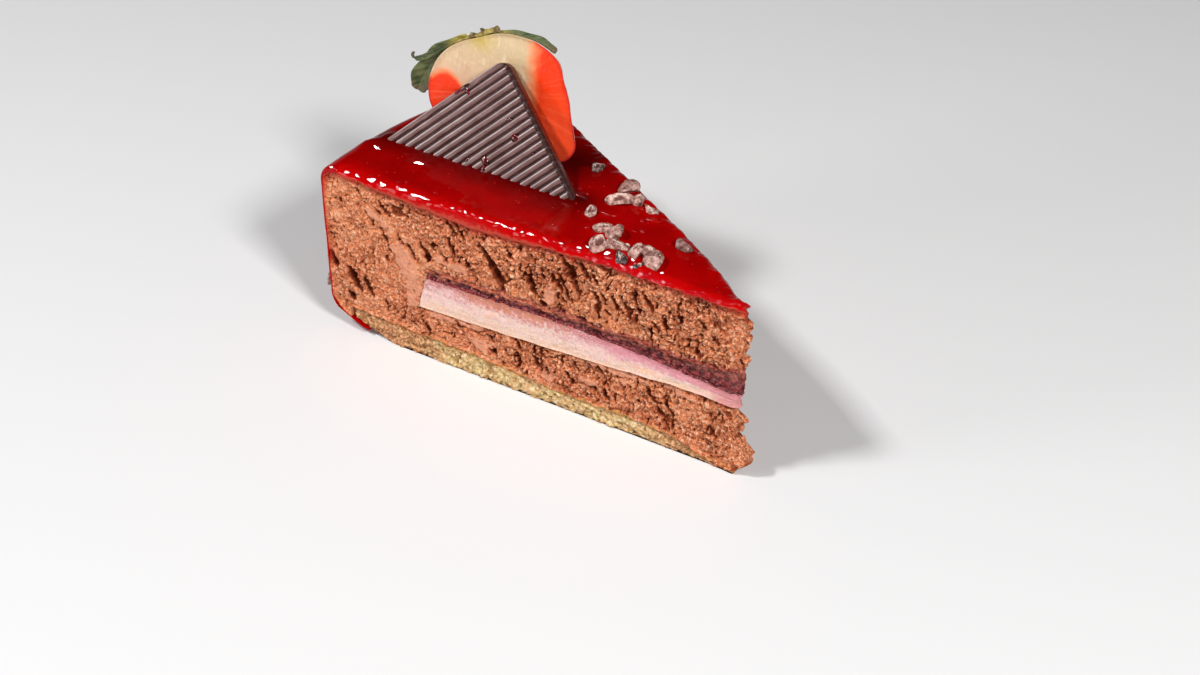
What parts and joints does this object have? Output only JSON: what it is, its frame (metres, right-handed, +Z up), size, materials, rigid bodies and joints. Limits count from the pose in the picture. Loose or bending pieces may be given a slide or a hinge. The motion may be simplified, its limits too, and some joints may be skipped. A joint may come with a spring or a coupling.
{
  "type": "chocolate mousse cake slice",
  "caption": "Wedge of glazed chocolate mousse cake on a sponge base, with a cream and berry insert, topped by a ribbed chocolate triangle, half a strawberry and cocoa nibs.",
  "frame": {"origin": "centre of the bounding box in plan, on the flat underside of the sponge base", "axes": "+X points to the tip of the slice, its outer arc faces -X, +Y to the far cut face, +Z up"},
  "size_m": [0.118, 0.064, 0.0761],
  "materials": {
    "sponge": "open yellow crumb, matte",
    "mousse": "torn, airy milk-brown mousse, matte to slightly moist",
    "cream": "smooth set cream, cream below and pink above, satin",
    "jelly": "dark purple fruit jelly, moist",
    "glaze": "clear deep red mirror glaze, wet gloss, with matte cocoa nibs in it",
    "chocolate": "dark chocolate, satin",
    "strawberry": "wet fruit, cream to orange-red flesh and red seeded skin",
    "leaf": "green leaf, satin, dry at the tips"
  },
  "bodies": {
    "root": {"sponge_base": "sponge", "mousse": "mousse", "cream_insert": "cream", "berry_jelly": "jelly", "glaze": "glaze", "chocolate_triangle": "chocolate", "strawberry": "strawberry", "strawberry_calyx": "leaf"}
  },
  "joints": []
}
